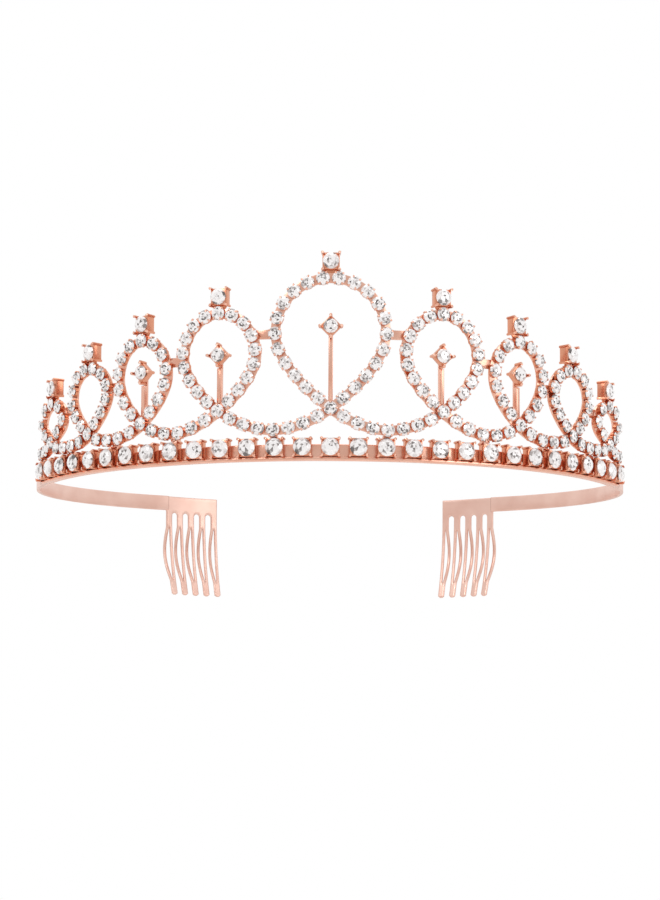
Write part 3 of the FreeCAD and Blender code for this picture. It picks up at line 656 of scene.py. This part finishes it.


# %% [markdown]
# ## The spring arms
# The real strip runs on behind the crown as two arms that spring open when the tiara is put on. The
# working model cuts it and hinges the arms, because it can only turn stiff pieces. Here each arm is
# a fixed stretch of the same strip, spun on from the front strip's end and rising towards the back, so no
# hinge shows.

for side, sign in SIDES.items():
    arm = strip(f"arm_strip_{side}", *sorted((sign * CROWN_END, sign * ARM_END)), 72)
    arm.data.materials.append(SATIN)
    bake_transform(arm)
    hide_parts(f"arm_{side}")


# %% [markdown]
# ## The shaded seams
# Each comb is soldered to the outside of its arm. Seen from inside the head, the cut end of the arm
# shows as a thin dark line: the shade in the step from the arm to the comb. A small rounded block of
# dark, dull metal in the cut is that painted shade, because a line painted on the plate would vanish at a
# low angle.

# %% Paint the shade at the ends
# A dark, dull metal that stands in for the shade in the step where the arm meets its comb.
SEAM_SHADE_METAL, _, _ = new_material("seam_shade_paint", Base_Color=colour("#9A5A42"), Metallic=0.8,
                            Roughness=0.5)
STRIP_FOOT = (-BAND_FACE * math.cos(ARM_END) - RISE_LINE) * math.tan(ARM_RISE)
SEAM_BLOCK_SIZE = (0.3, BAND_THICKNESS * 0.9, BAND_HEIGHT * 0.96)

# A block of painted shade in the cut end of each arm.
for side, sign in SIDES.items():
    seam_block = block(f"seam_shade_block_{side}", (0, 0, 0), SEAM_BLOCK_SIZE)
    round_edges(seam_block, 0.12)
    seam_block.data.transform(Matrix.Scale(MM, 4) @ Matrix.Rotation(sign * ARM_END, 4, "Z")
                        @ Matrix.Translation((0, -BAND_MIDDLE, STRIP_FOOT + BAND_HEIGHT / 2)))
    smooth(seam_block)
    seam_block.data.materials.append(SEAM_SHADE_METAL)
    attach(seam_block, f"arm_{side}")
print("the strip has risen", round(STRIP_FOOT, 2), "mm at its ends")


# %% [markdown]
# ## The hair combs
# Each comb is stamped from sheet brass: a plate, a lap beside it that is soldered to the arm, and
# five teeth that follow the head. Each tooth is slit, so that one half can be bowed out to grip the
# hair. A flat grid stands in for the sheet, with its lines on the edges of the teeth, gaps and
# slits, because the sheet must later bend along those lines without creasing.

# %% Mark out the sheet
TOOTH, GAP, TEETH, TOOTH_LENGTH = 1.7, 1.43, 5, 20.5
PITCH = TOOTH + GAP
SLIT = (0.8, 0.92)                                        # across a tooth
SLIT_TOP, SLIT_BOTTOM, SLIT_ROWS = 7.6, 21.2, 14          # down the comb
PLATE, LAP, LAP_HEIGHT = 4.5, 3.78, 3.4
COMB_LENGTH = PLATE + TOOTH_LENGTH


def comb_lines():
    """The grid's lines in millimetres: along the comb, and down it. A line close to an edge keeps
    its corner tight when the sheet is subdivided, and the others let the sheet bend."""
    across = [-LAP, -LAP + 0.4, -LAP * 0.6, -LAP * 0.25]
    for tooth in range(TEETH):
        start = tooth * PITCH
        across += [start + u for u in (0, 0.42, *SLIT, 1.3, TOOTH)]
        if tooth < TEETH - 1:
            across += [start + TOOTH + GAP * share for share in (1 / 3, 2 / 3)]
    down = [0, 0.35, 1.7, LAP_HEIGHT - 0.35, LAP_HEIGHT, PLATE - 0.4, PLATE, PLATE + 0.4, 6.0,
            SLIT_TOP - 0.4]
    down += [SLIT_TOP + (SLIT_BOTTOM - SLIT_TOP) * i / SLIT_ROWS for i in range(SLIT_ROWS + 1)]
    down += [SLIT_BOTTOM + 0.4, 22.9, 24.2, COMB_LENGTH - 0.35, COMB_LENGTH]
    return across, down


def in_gap(u):
    """Whether a place along the comb lies in a gap between teeth."""
    return u > 0 and u % PITCH > TOOTH + NEAR


def stamped_out(u, depth):
    """Whether a place on the flat comb is cut away: beside the lap, between teeth or in a slit."""
    if u < 0:
        return depth > LAP_HEIGHT
    slit = SLIT_TOP < depth < SLIT_BOTTOM and SLIT[0] < u % PITCH < SLIT[1]
    return slit or (depth > PLATE and in_gap(u))


print("lines across and down:", [len(lines) for lines in comb_lines()])


# %% [markdown]
# ## Rolling and bowing a comb
# After stamping, the sheet is rolled to the head's circle, the teeth are bent inwards to lie along
# the scalp, and half of each tooth is pressed outwards into a bow. The grid's points are moved in
# the same way. The gaps end in a rounded top and the teeth in a rounded tip: thickness and a
# subdivision then give the soft edges that tumbling leaves.

# %% Stamp and roll the combs
SHEET, BOW, TOOTH_BEND = 0.65, 1.8, 68     # millimetres: thickness, bow, radius of the teeth's bend
GAP_ROUND, TIP_ROUND = 0.5, 0.55           # how far a gap's top and a tooth's tip are rounded
COMB_TOP = STRIP_FOOT + BAND_HEIGHT


def rolled(u, down):
    """A place on the flat comb, rolled onto the head's circle with its teeth bent and bowed."""
    below = max(0.0, down - PLATE)
    radius = BAND_FACE + SHEET / 2 - TOOTH_BEND * (1 - math.cos(below / TOOTH_BEND))
    height = -min(down, PLATE) - TOOTH_BEND * math.sin(below / TOOTH_BEND)
    share = (down - SLIT_TOP) / (SLIT_BOTTOM - SLIT_TOP)
    if 0 < share < 1 and u >= 0 and u % PITCH < sum(SLIT) / 2:
        radius += BOW * math.sin(math.pi * share)
    bearing = ARM_END + u / BAND_FACE
    return Vector((radius * math.sin(bearing), -radius * math.cos(bearing), COMB_TOP + height))


def stamp_comb(name):
    """The right comb."""
    across, down = comb_lines()
    columns, rows = len(across) - 1, len(down) - 1
    bpy.ops.mesh.primitive_grid_add(x_subdivisions=columns, y_subdivisions=rows, size=1)
    sheet = join(name, [bpy.context.object])
    for v in sheet.data.vertices:
        v.co.x = across[round((v.co.x + 0.5) * columns)]
        v.co.y = -down[round((0.5 - v.co.y) * rows)]
    sheet.data.update()
    choose_faces(sheet, lambda face: stamped_out(face.center.x, -face.center.y))
    bpy.ops.mesh.delete(type="FACE")
    bpy.ops.object.mode_set(mode="OBJECT")
    for v in sheet.data.vertices:
        u, depth = v.co.x, -v.co.y
        within = u % PITCH
        if abs(depth - PLATE) < NEAR and in_gap(u):
            depth -= GAP_ROUND
        if abs(depth - COMB_LENGTH) < NEAR and (within < NEAR or abs(within - TOOTH) < NEAR):
            depth -= TIP_ROUND
        v.co = rolled(u, depth)
    apply_modifier(sheet, "SOLIDIFY", thickness=SHEET, offset=0)
    apply_modifier(sheet, "SUBSURF", levels=1)
    edit(sheet, RECALCULATE)
    sheet.data.transform(Matrix.Scale(MM, 4))
    smooth(sheet, 60)
    return sheet


right_comb = stamp_comb("comb_of_the_right_arm")
left_comb = right_comb.copy()
left_comb.data = right_comb.data.copy()
left_comb.name = left_comb.data.name = "comb_of_the_left_arm"
bpy.context.scene.collection.objects.link(left_comb)
left_comb.data.transform(Matrix.Scale(-1, 4, (1, 0, 0)))
edit(left_comb, RECALCULATE)
for comb, side in ((right_comb, "right"), (left_comb, "left")):
    finish_piece(comb, f"arm_{side}", SATIN, "satin_rose_gold", f"comb_{side}")
print("faces in a comb:", len(right_comb.data.polygons))


# %% [markdown]
# ## Light and floor
# Small jewellery is lit in a white tent, softly from all sides, which keeps its stones bright. A pale
# world does most of the work: it is a little darker in front, so that the metal has something to
# reflect besides white. Three large soft lamps add the highlights. The floor is matt white paper,
# well below, because the picture was taken from under the band's level.

# %% Build the tent
TENT = ((0.0, (0.72, 0.71, 0.71, 1)), (0.35, (0.88, 0.87, 0.87, 1)),     # from front to back
        (0.7, (1.0, 1.0, 1.0, 1)), (1.0, (1.0, 1.0, 1.0, 1)))

world = bpy.data.worlds.new("white_tent")
bpy.context.scene.world = world
world.use_nodes = True
tree = world.node_tree
sky = add_node(tree, "ShaderNodeTexCoord").outputs["Generated"]
depth = add_node(tree, "ShaderNodeSeparateXYZ", links={"Vector": sky}).outputs["Y"]
share = add_node(tree, "ShaderNodeMapRange", {"From Min": -1.0, "From Max": 1.0},
                 {"Value": depth}).outputs["Result"]
tent = ramp(tree, share, *TENT)
tree.links.new(tent, tree.nodes["Background"].inputs["Color"])
tree.nodes["Background"].inputs["Strength"].default_value = 1.0
bpy.context.scene.view_settings.view_transform = "Standard"

# %% Place the lamps
LAMPS = {"key_lamp": ((-0.45, -0.7, 0.6), 0.35, 1.6),      # place and width in metres, watts
         "fill_lamp": ((0.6, -0.5, 0.25), 0.4, 0.8),
         "top_lamp": ((0.0, 0.1, 0.8), 0.5, 1.0)}
MIDDLE = Vector((0, -0.03, 0.015))
for name, (place, width, power) in LAMPS.items():
    light = bpy.data.lights.new(name, "AREA")
    light.size, light.energy = width, power
    lamp = bpy.data.objects.new(name, light)
    lamp.location = place
    lamp.rotation_euler = (MIDDLE - Vector(place)).to_track_quat("-Z", "Y").to_euler()
    bpy.context.scene.collection.objects.link(lamp)
print("lamps:", list(LAMPS))

# %% Lay the floor
bpy.ops.mesh.primitive_plane_add(size=12, location=(0, 0, -0.22))
floor = bpy.context.object
floor.name = "floor"
PAPER, _, _ = new_material("white_paper", Base_Color=colour("#F2F0EE"), Roughness=0.8)
floor.data.materials.append(PAPER)
print("floor at", floor.location.z, "m")


# %% [markdown]
# ## The camera
# A long lens 0.76 m in front of the tiara, a little below it and tilted up, keeps the crown free of
# distortion while both combs still show below the band.

# %% Aim the camera
CAMERA_PLACE, LENS, SENSOR = (-0.0004, -0.760, -0.0882), 132.2, 36
YAW, PITCH_UP, ROLL = -0.0005, 0.130, 0.0045     # radians

camera = bpy.data.objects.new("camera", bpy.data.cameras.new("camera"))
bpy.context.scene.collection.objects.link(camera)
camera.data.lens, camera.data.sensor_fit = LENS, "VERTICAL"
camera.data.sensor_width = camera.data.sensor_height = SENSOR
camera.matrix_world = (Matrix.Translation(CAMERA_PLACE) @ Matrix.Rotation(YAW, 4, "Z")
                       @ Matrix.Rotation(math.pi / 2 + PITCH_UP, 4, "X") @ Matrix.Rotation(ROLL, 4, "Z"))
bpy.context.scene.camera = camera
print("lens:", camera.data.lens, "mm")
